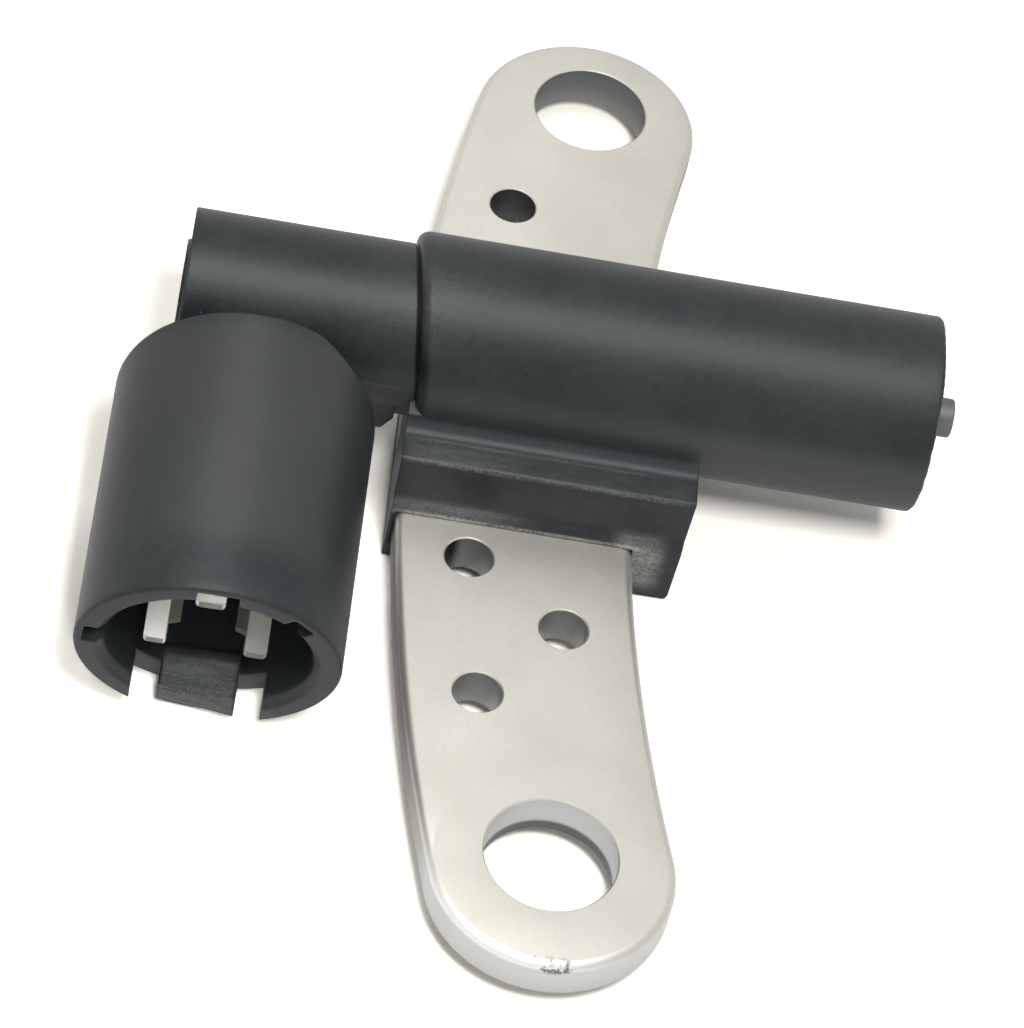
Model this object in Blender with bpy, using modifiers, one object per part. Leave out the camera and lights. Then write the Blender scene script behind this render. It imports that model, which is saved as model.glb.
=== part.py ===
"""Crankshaft position sensor: an inductive probe moulded across a curved steel bracket.

Metres, +Z up. The origin lies on the flat underside of the moulded block, below the probe's axis and
midway between the two bolt holes. X runs along the probe towards its pole pin, Y runs along the
bracket away from the connector's mouth.
"""
import math

import bmesh
import bpy
from mathutils import Matrix, Vector

MM = 0.001
CLEARANCE = 0.3 * MM
PART_NAME = "crankshaft_position_sensor"

# Bracket: a flat bar bent in its own plane, with a bolt hole near each end.
ARC_RADIUS = 194.3 * MM
ARC_CROWN_X = -4.95 * MM
ARC_CROWN_Y = 1.55 * MM
BRACKET_WIDTH = 20.35 * MM
BRACKET_THICKNESS = 4.0 * MM
BRACKET_UNDERSIDE_Z = 1.8 * MM
BRACKET_NEAR_REACH = 49.0 * MM
BRACKET_FAR_REACH = 37.5 * MM
BRACKET_EDGE_ROUND = 0.5 * MM
NEAR_BOLT_DIAMETER = 11.0 * MM
NEAR_BOLT_SHIFT = -0.9 * MM
FAR_BOLT_DIAMETER = 10.4 * MM
FAR_BOLT_SHIFT = 1.5 * MM
SMALL_HOLE_DIAMETER = 4.2 * MM
SMALL_HOLE_ROW = 3.9 * MM
SMALL_HOLE_FROM_BLOCK = 4.85 * MM
SMALL_HOLE_PITCH = 7.1 * MM
SMALL_HOLE_FROM_FAR_BOLT = 14.8 * MM

# Probe and neck: one turned form along X.
PROBE_AXIS_Z = 15.0 * MM
PROBE_RADIUS = 8.5 * MM
PROBE_TIP_X = 29.0 * MM
PROBE_SHOULDER_X = -15.8 * MM
PROBE_SHOULDER_ROUND = 1.1 * MM
PROBE_TIP_CHAMFER = 0.4 * MM
NECK_RADIUS = 7.3 * MM
NECK_END_X = -35.4 * MM
NECK_END_CHAMFER = 0.2 * MM
END_BOSS_RADIUS = 4.5 * MM
END_BOSS_HEIGHT = 0.3 * MM

# Block: the overmould that grips the bracket and carries the probe.
BLOCK_LEFT_X = -15.1 * MM
BLOCK_RIGHT_X = 10.2 * MM
BLOCK_HALF_LENGTH = 12.65 * MM
BLOCK_LEDGE_Z = 11.8 * MM
BLOCK_FOOT_HEIGHT = 1.2 * MM
BLOCK_FOOT_FLARE = 0.5 * MM
BLOCK_LEDGE_FILLET = 1.2 * MM
BLOCK_CORNER_ROUND = 0.35 * MM
BLOCK_DRAFT = 0.4 * MM
BLOCK_LOWER_ROUND = 0.9 * MM

# Connector: a barrel tilted mouth down, joined to the neck by a round throat.
CONNECTOR_X = -28.73 * MM
CONNECTOR_TILT = math.radians(11.0)
CONNECTOR_RADIUS = 10.93 * MM
CONNECTOR_LENGTH = 26.6 * MM
CONNECTOR_STANDOFF = 2.2 * MM
CONNECTOR_RISE = 0.9 * MM
CONNECTOR_REAR_Y = -12.1 * MM
CONNECTOR_CORNER_START = 5.0 * MM
CONNECTOR_CORNER_ANGLE = math.radians(15.0)
CONNECTOR_LIP_CHAMFER = 0.25 * MM
CONNECTOR_WALL = 2.43 * MM
SOCKET_FLOOR_WALL = 6.6 * MM
SOCKET_LEAD_IN = 0.7 * MM
CORE_OFFSET = 0.3 * MM
THROAT_RADIUS = 5.2 * MM
THROAT_DROP = 1.7 * MM

# Keyways inside the mouth: angle from straight up, towards the probe's tip, and width.
KEYWAY_TOP_WIDTH = 3.5 * MM
KEYWAY_SIDE_WIDTH = 2.4 * MM
KEYWAY_BACK_WIDTH = 2.5 * MM
KEYWAYS = {"top": (0.0, KEYWAY_TOP_WIDTH), "side": (44.0, KEYWAY_SIDE_WIDTH), "back": (-86.0, KEYWAY_BACK_WIDTH)}
KEYWAY_WALL = 0.6 * MM
KEYWAY_DEPTH = 12.0 * MM

# Latch: a ramped tongue between two slots at the bottom of the mouth.
LATCH_WIDTH = 6.0 * MM
LATCH_SLOT_WIDTH = 2.2 * MM
LATCH_SLOT_DEPTH = 3.1 * MM
LATCH_SETBACK = 1.0 * MM
LATCH_RAMP_LENGTH = 3.2 * MM
LATCH_RAMP_START = 0.55 * MM
LATCH_RAMP_RISE = 1.5 * MM
LATCH_CREST_LENGTH = 0.5 * MM

# Contacts: three flat blades on a circle, tips set back from the mouth.
CONTACT_CIRCLE_RADIUS = 4.75 * MM
CONTACT_TIP_SETBACK = 2.05 * MM
CONTACT_THICKNESS = 0.8 * MM
CONTACT_SHANK_EXTRA = 0.6 * MM
CONTACT_SHOULDER = 3.4 * MM
CONTACT_TAIL = 2.0 * MM
CONTACT_TIP_CHAMFER = 0.45 * MM
CONTACT_TOP_WIDTH = 2.4 * MM
CONTACT_SIDE_WIDTH = 1.9 * MM
CONTACTS = {
    "contact_blade_top": (0.0, CONTACT_TOP_WIDTH),
    "contact_blade_left": (120.0, CONTACT_SIDE_WIDTH),
    "contact_blade_right": (-120.0, CONTACT_SIDE_WIDTH),
}

# Coil unit inside the probe, all on the probe's axis.
PIN_RADIUS = 1.7 * MM
PIN_PROUD = 2.3 * MM
PIN_LENGTH = 23.0 * MM
TIP_WALL = 1.4 * MM
COIL_CAVITY_RADIUS = 6.3 * MM
FLANGE_THICKNESS = 1.2 * MM
BOBBIN_LENGTH = 18.4 * MM
BOBBIN_WALL = 0.9 * MM
WINDING_RADIUS = 5.4 * MM
WRAP_THICKNESS = 0.25 * MM
MAGNET_RADIUS = 4.0 * MM
MAGNET_LENGTH = 5.5 * MM
YOKE_THICKNESS = 1.5 * MM
LEAD_RADIUS = 0.5 * MM
LEAD_SPREAD = 1.8 * MM
LEAD_ORBIT = 5.1 * MM
LEAD_SPLAY = 4.0 * MM
LEAD_GATHER = 3.2 * MM

ROUND_STEPS = 48
SMALL_STEPS = 20
FINE_MERGE = 0.00001


def clear_scene():
    """Removes the objects, and the collections that the last run made."""
    for item in list(bpy.data.objects):
        bpy.data.objects.remove(item, do_unlink=True)
    for group in list(bpy.data.collections):
        bpy.data.collections.remove(group)


def make_collection(name):
    """Adds a collection to the scene."""
    group = bpy.data.collections.new(name)
    bpy.context.scene.collection.children.link(group)
    return group


def make_material(name, colour, roughness, metallic):
    """Returns a plain Principled material."""
    material = bpy.data.materials.get(name) or bpy.data.materials.new(name)
    material.use_nodes = True
    shader = material.node_tree.nodes["Principled BSDF"]
    shader.inputs["Base Color"].default_value = (*colour, 1.0)
    shader.inputs["Roughness"].default_value = roughness
    shader.inputs["Metallic"].default_value = metallic
    return material


def add_object(name, mesh, group, material=None, matrix=None):
    """Links a mesh or curve as a named object, placed by a matrix."""
    item = bpy.data.objects.new(name, mesh)
    group.objects.link(item)
    if matrix is not None:
        item.matrix_world = matrix
    if material is not None:
        mesh.materials.append(material)
    return item


def hide_cutter(item):
    """Marks an object as a cutter, which shows as wire and isn't part of the model."""
    item.hide_render = True
    item.display_type = "WIRE"
    return item


def along_x(x, y, z):
    """Matrix that stands a turned shape's Z axis along the world's X, through a point."""
    return Matrix.Translation((x, y, z)) @ Matrix.Rotation(math.radians(90), 4, "Y")


def turned(name, profile, group, matrix, steps, material=None, closed=False):
    """Turns a profile of (radius, height) points about Z. It runs from the top down its outer side."""
    mesh = bpy.data.meshes.new(name)
    points = [(radius, 0.0, height) for radius, height in profile]
    edges = [(i, i + 1) for i in range(len(points) - 1)]
    if closed:
        edges.append((len(points) - 1, 0))
    mesh.from_pydata(points, edges, [])
    item = add_object(name, mesh, group, material, matrix)
    screw = item.modifiers.new("Turn", "SCREW")
    screw.axis = "Z"
    screw.steps = steps
    screw.render_steps = steps
    screw.use_merge_vertices = True
    screw.merge_threshold = FINE_MERGE
    screw.use_normal_calculate = False
    return item


def ring(name, outer, inner, low, high, group, matrix, steps, material=None):
    """Turns a plain tube between two heights."""
    profile = [(inner, high), (outer, high), (outer, low), (inner, low)]
    return turned(name, profile, group, matrix, steps, material, closed=True)


def box(name, low, high, group, matrix=None):
    """A box between two corners."""
    mesh = bpy.data.meshes.new(name)
    shape = bmesh.new()
    bmesh.ops.create_cube(shape, size=1.0)
    size = Vector(high) - Vector(low)
    middle = (Vector(high) + Vector(low)) / 2
    bmesh.ops.scale(shape, vec=size, verts=shape.verts)
    bmesh.ops.translate(shape, vec=middle, verts=shape.verts)
    shape.to_mesh(mesh)
    shape.free()
    return add_object(name, mesh, group, None, matrix)


def flat_outline(name, points, thickness, group, matrix=None, material=None):
    """Extrudes a flat closed outline of (x, y) points by half its thickness each way along Z."""
    curve = bpy.data.curves.new(name, "CURVE")
    curve.dimensions = "2D"
    curve.fill_mode = "BOTH"
    curve.extrude = thickness / 2
    spline = curve.splines.new("POLY")
    spline.points.add(len(points) - 1)
    for point, (x, y) in zip(spline.points, points):
        point.co = (x, y, 0.0, 1.0)
    spline.use_cyclic_u = True
    item = add_object(name, curve, group, None, matrix)
    return as_mesh(item, group, material)


def wire(name, points, radius, group, material=None):
    """A round wire along straight runs between points."""
    curve = bpy.data.curves.new(name, "CURVE")
    curve.dimensions = "3D"
    curve.bevel_depth = radius
    curve.bevel_resolution = 2
    curve.use_fill_caps = True
    spline = curve.splines.new("POLY")
    spline.points.add(len(points) - 1)
    for point, place in zip(spline.points, points):
        point.co = (*place, 1.0)
    item = add_object(name, curve, group)
    return as_mesh(item, group, material)


def as_mesh(item, group, material=None):
    """Replaces a curve object by a mesh of the same shape, name and place, with its caps welded."""
    bpy.context.view_layer.update()
    place = item.matrix_world.copy()
    evaluated = item.evaluated_get(bpy.context.evaluated_depsgraph_get())
    mesh = bpy.data.meshes.new_from_object(evaluated)
    mesh.materials.clear()
    shape = bmesh.new()
    shape.from_mesh(mesh)
    bmesh.ops.remove_doubles(shape, verts=shape.verts, dist=FINE_MERGE)
    bmesh.ops.recalc_face_normals(shape, faces=shape.faces)
    shape.to_mesh(mesh)
    shape.free()
    name = item.name
    bpy.data.objects.remove(item, do_unlink=True)
    mesh.name = name
    return add_object(name, mesh, group, material, place)


def combine(target, other, operation):
    """Adds one Boolean step to a body. It stays on the object."""
    step = target.modifiers.new(other.name, "BOOLEAN")
    step.operation = operation
    step.object = other
    step.solver = "EXACT"


def weld(item):
    """Merges the slivers that a cut leaves."""
    step = item.modifiers.new("Weld", "WELD")
    step.merge_threshold = FINE_MERGE


def bevel(item, width, segments, angle=40.0):
    """Rounds the sharp edges of an object."""
    step = item.modifiers.new("Round", "BEVEL")
    step.width = width
    step.segments = segments
    step.limit_method = "ANGLE"
    step.angle_limit = math.radians(angle)
    step.use_clamp_overlap = True


def smooth(item, angle=35.0):
    """Shades a round piece smooth up to an edge angle."""
    item.data.shade_smooth()
    item.data.set_sharp_from_angle(angle=math.radians(angle))


def arc(centre, radius, start, end, count):
    """Points on an arc, ends included, angles in radians."""
    steps = [start + (end - start) * i / count for i in range(count + 1)]
    return [(centre[0] + radius * math.cos(a), centre[1] + radius * math.sin(a)) for a in steps]


def on_bracket(reach, across=0.0):
    """Point on the bracket, by its distance along the mean arc and across it towards the outside."""
    turn = math.pi - reach / ARC_RADIUS
    radius = ARC_RADIUS + across
    centre_x = ARC_CROWN_X + ARC_RADIUS
    return centre_x + radius * math.cos(turn), ARC_CROWN_Y + radius * math.sin(turn)


def far_small_hole_reach():
    """Distance of the small hole beside the far bolt hole, along the mean arc."""
    return BRACKET_FAR_REACH + FAR_BOLT_SHIFT - SMALL_HOLE_FROM_FAR_BOLT


def near_small_hole_reach():
    """Distance of the first small hole in front of the block, along the mean arc."""
    return BLOCK_HALF_LENGTH + SMALL_HOLE_FROM_BLOCK


def bracket_outline(half_width, end_steps=14, side_steps=24):
    """The bracket's outline: two long arcs and two round ends."""
    centre = (ARC_CROWN_X + ARC_RADIUS, ARC_CROWN_Y)
    near = math.pi + BRACKET_NEAR_REACH / ARC_RADIUS
    far = math.pi - BRACKET_FAR_REACH / ARC_RADIUS
    outer = arc(centre, ARC_RADIUS + half_width, far, near, side_steps)
    near_end = arc(on_bracket(-BRACKET_NEAR_REACH), half_width, near, near + math.pi, end_steps)
    inner = arc(centre, ARC_RADIUS - half_width, near, far, side_steps)
    far_end = arc(on_bracket(BRACKET_FAR_REACH), half_width, far - math.pi, far, end_steps)
    return outer + near_end[1:-1] + inner + far_end[1:-1]


def make_bracket(parts, cutters, steel):
    """The curved bar with its rounded edge, bolt holes and small holes."""
    middle_z = BRACKET_UNDERSIDE_Z + BRACKET_THICKNESS / 2
    place = Matrix.Translation((0.0, 0.0, middle_z))
    outline = bracket_outline(BRACKET_WIDTH / 2)
    plate = flat_outline("bracket_plate", outline, BRACKET_THICKNESS, parts, place, steel)
    bevel(plate, BRACKET_EDGE_ROUND, 2, 60.0)
    holes = {
        "near_bolt_hole": (on_bracket(-BRACKET_NEAR_REACH - NEAR_BOLT_SHIFT), NEAR_BOLT_DIAMETER, ROUND_STEPS),
        "far_bolt_hole": (on_bracket(BRACKET_FAR_REACH + FAR_BOLT_SHIFT), FAR_BOLT_DIAMETER, ROUND_STEPS),
        "far_small_hole": (on_bracket(far_small_hole_reach(), SMALL_HOLE_ROW), SMALL_HOLE_DIAMETER, SMALL_STEPS),
    }
    for i in range(3):
        side = SMALL_HOLE_ROW if i != 1 else -SMALL_HOLE_ROW
        spot = on_bracket(-near_small_hole_reach() - i * SMALL_HOLE_PITCH, side)
        holes[f"near_small_hole_{i + 1}"] = (spot, SMALL_HOLE_DIAMETER, SMALL_STEPS)
    top = BRACKET_THICKNESS
    for name, ((x, y), diameter, steps) in holes.items():
        profile = [(0.0, top), (diameter / 2, top), (diameter / 2, -top), (0.0, -top)]
        drill = turned(name, profile, cutters, Matrix.Translation((x, y, middle_z)), steps)
        combine(plate, hide_cutter(drill), "DIFFERENCE")
    return plate


def probe_profile():
    """The turned form of probe and neck, from the pole pin's end down to the neck's end."""
    round_centre = (PROBE_RADIUS - PROBE_SHOULDER_ROUND, PROBE_SHOULDER_X + PROBE_SHOULDER_ROUND)
    shoulder = arc(round_centre, PROBE_SHOULDER_ROUND, 0.0, -math.pi / 2, 5)
    return [
        (0.0, PROBE_TIP_X),
        (PROBE_RADIUS - PROBE_TIP_CHAMFER, PROBE_TIP_X),
        (PROBE_RADIUS, PROBE_TIP_X - PROBE_TIP_CHAMFER),
        *shoulder,
        (NECK_RADIUS, PROBE_SHOULDER_X),
        (NECK_RADIUS, NECK_END_X + NECK_END_CHAMFER),
        (NECK_RADIUS - NECK_END_CHAMFER, NECK_END_X),
        (END_BOSS_RADIUS, NECK_END_X),
        (END_BOSS_RADIUS, NECK_END_X - END_BOSS_HEIGHT),
        (0.0, NECK_END_X - END_BOSS_HEIGHT),
    ]


def block_outline():
    """Half of the block's end view as (y, z): foot, front wall, ledge and fillet, then its mirror."""
    bracket_top = BRACKET_UNDERSIDE_Z + BRACKET_THICKNESS
    wall = BLOCK_HALF_LENGTH - BLOCK_FOOT_FLARE
    fillet_z = BLOCK_LEDGE_Z + BLOCK_LEDGE_FILLET
    reach = PROBE_RADIUS + BLOCK_LEDGE_FILLET
    fillet_y = -math.sqrt(reach ** 2 - (PROBE_AXIS_Z - fillet_z) ** 2)
    towards_axis = math.atan2(PROBE_AXIS_Z - fillet_z, -fillet_y)
    fillet = arc((fillet_y, fillet_z), BLOCK_LEDGE_FILLET, -math.pi / 2, towards_axis, 5)
    half = [
        (-BLOCK_HALF_LENGTH, 0.0),
        (-BLOCK_HALF_LENGTH, bracket_top),
        (-wall, bracket_top + BLOCK_FOOT_HEIGHT),
        (-wall, BLOCK_LEDGE_Z - BLOCK_CORNER_ROUND),
        (-wall + BLOCK_CORNER_ROUND, BLOCK_LEDGE_Z),
        *fillet,
        (-PROBE_RADIUS / 2, PROBE_AXIS_Z),
    ]
    return half + [(-y, z) for y, z in reversed(half)]


def block_side_outline():
    """The block's front view as (x, z): upright on the left, drafted with a round foot on the right."""
    top = PROBE_AXIS_Z + BLOCK_CORNER_ROUND
    low_x = BLOCK_RIGHT_X - BLOCK_DRAFT
    beyond = BLOCK_LEFT_X - BLOCK_DRAFT
    foot = arc((low_x - BLOCK_LOWER_ROUND, BLOCK_LOWER_ROUND), BLOCK_LOWER_ROUND, -math.pi / 2, 0.0, 4)
    return [(beyond, 0.0), *foot, (BLOCK_RIGHT_X, top), (beyond, top)]


def make_block(cutters):
    """The block as its end view drawn out along X, kept within its front view."""
    middle_x = (BLOCK_LEFT_X + BLOCK_RIGHT_X) / 2
    end_view = Matrix(((0, 0, 1, middle_x), (1, 0, 0, 0), (0, 1, 0, 0), (0, 0, 0, 1)))
    width = BLOCK_RIGHT_X - BLOCK_LEFT_X
    block = flat_outline("block_form", block_outline(), width, cutters, end_view)
    front_view = Matrix(((1, 0, 0, 0), (0, 0, -1, 0), (0, 1, 0, 0), (0, 0, 0, 1)))
    breadth = 2 * (BLOCK_HALF_LENGTH + BLOCK_DRAFT)
    side = flat_outline("block_side_form", block_side_outline(), breadth, cutters, front_view)
    combine(block, hide_cutter(side), "INTERSECT")
    return hide_cutter(block)


def connector_rear():
    """Where the connector's axis ends, behind its trimmed rear face."""
    y = -(NECK_RADIUS + CONNECTOR_STANDOFF)
    return Vector((CONNECTOR_X, y, PROBE_AXIS_Z + CONNECTOR_RISE))


def connector_matrix():
    """Frame of the connector: X to its left seen from the mouth, Y up, Z from the mouth backwards."""
    back = Vector((0.0, math.cos(CONNECTOR_TILT), math.sin(CONNECTOR_TILT)))
    up = Vector((0.0, -math.sin(CONNECTOR_TILT), math.cos(CONNECTOR_TILT)))
    left = up.cross(back)
    turn = Matrix((left, up, back)).transposed().to_4x4()
    mouth = connector_rear() - back * CONNECTOR_LENGTH
    return Matrix.Translation(mouth) @ turn


def barrel_profile():
    """The outside of the connector, from beyond its rear face down to its mouth."""
    beyond = CONNECTOR_LENGTH + CONNECTOR_RADIUS / 4
    return [
        (0.0, beyond),
        (CONNECTOR_RADIUS, beyond),
        (CONNECTOR_RADIUS, CONNECTOR_LIP_CHAMFER),
        (CONNECTOR_RADIUS - CONNECTOR_LIP_CHAMFER, 0.0),
        (0.0, 0.0),
    ]


def socket_radius():
    """Inner radius of the connector's wall."""
    return CONNECTOR_RADIUS - CONNECTOR_WALL


def socket_depth():
    """Depth of the connector's hollow behind its mouth."""
    return CONNECTOR_LENGTH - SOCKET_FLOOR_WALL


def socket_profile():
    """The hollow of the connector, from its floor down past its mouth, with a lead-in."""
    past = -2 * SOCKET_LEAD_IN
    wide = socket_radius() + SOCKET_LEAD_IN
    return [
        (0.0, socket_depth()),
        (socket_radius(), socket_depth()),
        (socket_radius(), SOCKET_LEAD_IN),
        (wide, 0.0),
        (wide, past),
        (0.0, past),
    ]


def contact_centre(angle):
    """Place of a contact across the socket, by its angle from straight up."""
    turn = math.radians(angle)
    return (
        CORE_OFFSET + CONTACT_CIRCLE_RADIUS * math.sin(turn),
        CONTACT_CIRCLE_RADIUS * math.cos(turn),
    )


def contact_end():
    """How far behind the mouth the contacts' tails reach."""
    return socket_depth() + CONTACT_TAIL


def lead_paths(overrun=0.0):
    """The centre lines of the two coil leads, from the contacts' tails to the bobbin's rear flange.

    A channel's line starts earlier by the overrun, inside the contact's slot.
    """
    frame = connector_matrix()
    rear_flange = bobbin_span()[0]
    cavity_start = yoke_span()[0] - CLEARANCE
    paths = {}
    for name, contact, side in (("coil_lead_left", "contact_blade_left", 1.0),
                                ("coil_lead_right", "contact_blade_right", -1.0)):
        across, up = contact_centre(CONTACTS[contact][0])
        tail = frame @ Vector((across, up, contact_end() + CLEARANCE - overrun))
        run_y = side * LEAD_SPREAD
        orbit_y = side * LEAD_ORBIT
        gather_x = CONNECTOR_X - side * LEAD_GATHER
        paths[name] = [
            tail,
            Vector((gather_x, CONNECTOR_REAR_Y + LEAD_RADIUS, PROBE_AXIS_Z - THROAT_DROP)),
            Vector((gather_x, run_y - LEAD_RADIUS, PROBE_AXIS_Z)),
            Vector((gather_x + LEAD_RADIUS, run_y, PROBE_AXIS_Z)),
            Vector((cavity_start - LEAD_SPLAY, run_y, PROBE_AXIS_Z)),
            Vector((cavity_start + LEAD_RADIUS, orbit_y, PROBE_AXIS_Z)),
            Vector((rear_flange - CLEARANCE, orbit_y, PROBE_AXIS_Z)),
        ]
    return paths


def bobbin_span():
    """Where the bobbin starts and ends along X, behind the probe's tip wall."""
    end = PROBE_TIP_X - TIP_WALL - CLEARANCE
    return end - BOBBIN_LENGTH, end


def pin_span():
    """Where the pole pin starts and ends along X."""
    end = PROBE_TIP_X + PIN_PROUD
    return end - PIN_LENGTH, end


def magnet_span():
    """Where the magnet starts and ends along X, behind the pole pin."""
    end = pin_span()[0] - CLEARANCE
    return end - MAGNET_LENGTH, end


def yoke_span():
    """Where the yoke disc starts and ends along X, behind the magnet."""
    end = magnet_span()[0] - CLEARANCE
    return end - YOKE_THICKNESS, end


def latch_outline():
    """Side view of the latch ramp as (distance behind the mouth, height)."""
    low = -(socket_radius() + CONNECTOR_RADIUS) / 2
    start_height = -socket_radius() + LATCH_RAMP_START
    crest = start_height + LATCH_RAMP_RISE
    ramp_end = LATCH_SETBACK + LATCH_RAMP_LENGTH
    return [
        (LATCH_SETBACK, low),
        (LATCH_SETBACK, start_height),
        (ramp_end, crest),
        (ramp_end + LATCH_CREST_LENGTH, crest),
        (ramp_end + LATCH_CREST_LENGTH, low),
    ]


def make_housing(parts, cutters, plastic):
    """The one-piece moulding: probe, neck, block, connector, its latch and the hollows inside."""
    housing = turned("housing", probe_profile(), parts, along_x(0.0, 0.0, PROBE_AXIS_Z), ROUND_STEPS, plastic)
    frame = connector_matrix()
    barrel = turned("barrel_form", barrel_profile(), cutters, frame, ROUND_STEPS)
    trim_connector(barrel, cutters)
    combine(housing, make_block(cutters), "UNION")
    combine(housing, hide_cutter(barrel), "UNION")
    reach = CONNECTOR_REAR_Y - THROAT_RADIUS / 4
    throat_profile = [(0.0, 0.0), (THROAT_RADIUS, 0.0), (THROAT_RADIUS, reach), (0.0, reach)]
    stand = Matrix.Translation((CONNECTOR_X, 0.0, PROBE_AXIS_Z - THROAT_DROP))
    lay = Matrix.Rotation(math.radians(-90), 4, "X")
    throat = turned("throat_form", throat_profile, cutters, stand @ lay, ROUND_STEPS)
    combine(housing, hide_cutter(throat), "UNION")
    cut_socket(housing, cutters, frame)
    latch = make_latch(cutters, frame)
    combine(housing, latch, "UNION")
    cut_bracket_slot(housing, cutters)
    cut_coil_cavity(housing, cutters)
    cut_contact_slots(housing, cutters, frame)
    for name, path in lead_paths(2 * CLEARANCE).items():
        channel = wire(f"{name}_channel", path, LEAD_RADIUS + CLEARANCE, cutters)
        combine(housing, hide_cutter(channel), "DIFFERENCE")
    return housing


def trim_connector(barrel, cutters):
    """Cuts the connector's rear upright, and its corner towards the probe on a slant."""
    reach = 2 * CONNECTOR_RADIUS
    low = (-reach, 0.0, -reach)
    high = (reach, reach, reach)
    middle = Vector((CONNECTOR_X, CONNECTOR_REAR_Y, PROBE_AXIS_Z))
    rear_trim = box("connector_rear_trim", low, high, cutters, Matrix.Translation(middle))
    combine(barrel, hide_cutter(rear_trim), "DIFFERENCE")
    hinge = middle + Vector((CONNECTOR_CORNER_START, 0.0, 0.0))
    slant = Matrix.Translation(hinge) @ Matrix.Rotation(-CONNECTOR_CORNER_ANGLE, 4, "Z")
    corner_trim = box("connector_corner_trim", low, high, cutters, slant)
    combine(barrel, hide_cutter(corner_trim), "DIFFERENCE")


def cut_socket(housing, cutters, frame):
    """Cuts the connector's hollow, its keyways and the latch slots."""
    socket = turned("socket_hollow", socket_profile(), cutters, frame, ROUND_STEPS)
    for name, (angle, width) in KEYWAYS.items():
        turn = frame @ Matrix.Rotation(math.radians(angle), 4, "Z")
        low = (-width / 2, socket_radius() / 2, -3 * SOCKET_LEAD_IN)
        high = (width / 2, CONNECTOR_RADIUS - KEYWAY_WALL, KEYWAY_DEPTH)
        keyway = box(f"keyway_{name}", low, high, cutters, turn)
        combine(socket, hide_cutter(keyway), "UNION")
    combine(housing, hide_cutter(socket), "DIFFERENCE")
    weld(housing)
    half = LATCH_WIDTH / 2
    floor = -CONNECTOR_RADIUS - LATCH_SLOT_WIDTH
    ceiling = -socket_radius() * 0.7
    spans = {
        "latch_slot_left": (half, half + LATCH_SLOT_WIDTH, LATCH_SLOT_DEPTH),
        "latch_slot_right": (-half - LATCH_SLOT_WIDTH, -half, LATCH_SLOT_DEPTH),
        "latch_front": (-half - CLEARANCE, half + CLEARANCE, LATCH_SETBACK),
    }
    for name, (left, right, depth) in spans.items():
        low = (left + CORE_OFFSET, floor, -4 * SOCKET_LEAD_IN)
        high = (right + CORE_OFFSET, ceiling, depth)
        slot = box(name, low, high, cutters, frame)
        combine(housing, hide_cutter(slot), "DIFFERENCE")


def make_latch(cutters, frame):
    """The ramp on the tongue, a side view drawn out across the tongue's width."""
    side_view = Matrix(((0, 0, 1, CORE_OFFSET), (0, 1, 0, 0), (-1, 0, 0, 0), (0, 0, 0, 1)))
    outline = [(-back, height) for back, height in latch_outline()]
    return hide_cutter(flat_outline("latch_ramp", outline, LATCH_WIDTH, cutters, frame @ side_view))


def cut_bracket_slot(housing, cutters):
    """Cuts the slot that the bracket sits in, which is open on the bracket's outer edge."""
    middle_z = BRACKET_UNDERSIDE_Z + BRACKET_THICKNESS / 2
    outline = bracket_outline(BRACKET_WIDTH / 2 + CLEARANCE)
    thickness = BRACKET_THICKNESS + 2 * CLEARANCE
    place = Matrix.Translation((0.0, 0.0, middle_z))
    slot = flat_outline("bracket_slot", outline, thickness, cutters, place)
    combine(housing, hide_cutter(slot), "DIFFERENCE")


def cut_coil_cavity(housing, cutters):
    """Cuts the room for the coil unit and the hole that the pole pin stands in."""
    wall_x = PROBE_TIP_X - TIP_WALL
    hole = PIN_RADIUS + CLEARANCE
    profile = [
        (0.0, PROBE_TIP_X + TIP_WALL),
        (hole, PROBE_TIP_X + TIP_WALL),
        (hole, wall_x),
        (COIL_CAVITY_RADIUS, wall_x),
        (COIL_CAVITY_RADIUS, yoke_span()[0] - CLEARANCE),
        (0.0, yoke_span()[0] - CLEARANCE),
    ]
    cavity = turned("coil_cavity", profile, cutters, along_x(0.0, 0.0, PROBE_AXIS_Z), ROUND_STEPS)
    combine(housing, hide_cutter(cavity), "DIFFERENCE")


def cut_contact_slots(housing, cutters, frame):
    """Cuts a slot for each contact's shank through the floor of the socket."""
    for name, (angle, width) in CONTACTS.items():
        across, up = contact_centre(angle)
        half_width = (width + CONTACT_SHANK_EXTRA) / 2 + CLEARANCE
        half_height = CONTACT_THICKNESS / 2 + CLEARANCE
        low = (across - half_width, up - half_height, socket_depth() - CONTACT_TAIL / 4)
        high = (across + half_width, up + half_height, contact_end() + CLEARANCE)
        slot = box(f"{name}_slot", low, high, cutters, frame)
        combine(housing, hide_cutter(slot), "DIFFERENCE")


def make_contacts(parts, tin):
    """The three flat blades, each with a narrower chamfered tip and a wider shank."""
    lay = Matrix(((1, 0, 0, 0), (0, 0, -1, 0), (0, 1, 0, 0), (0, 0, 0, 1)))
    for name, (angle, width) in CONTACTS.items():
        across, up = contact_centre(angle)
        shank = (width + CONTACT_SHANK_EXTRA) / 2
        tip = CONTACT_TIP_SETBACK
        shoulder = tip + CONTACT_SHOULDER
        half = [
            (width / 2 - CONTACT_TIP_CHAMFER, tip),
            (width / 2, tip + CONTACT_TIP_CHAMFER),
            (width / 2, shoulder - CONTACT_SHANK_EXTRA / 2),
            (shank, shoulder),
            (shank, contact_end()),
        ]
        outline = half + [(-x, y) for x, y in reversed(half)]
        place = connector_matrix() @ Matrix.Translation((across, up, 0.0)) @ lay
        flat_outline(name, outline, CONTACT_THICKNESS, parts, place, tin)


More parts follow.
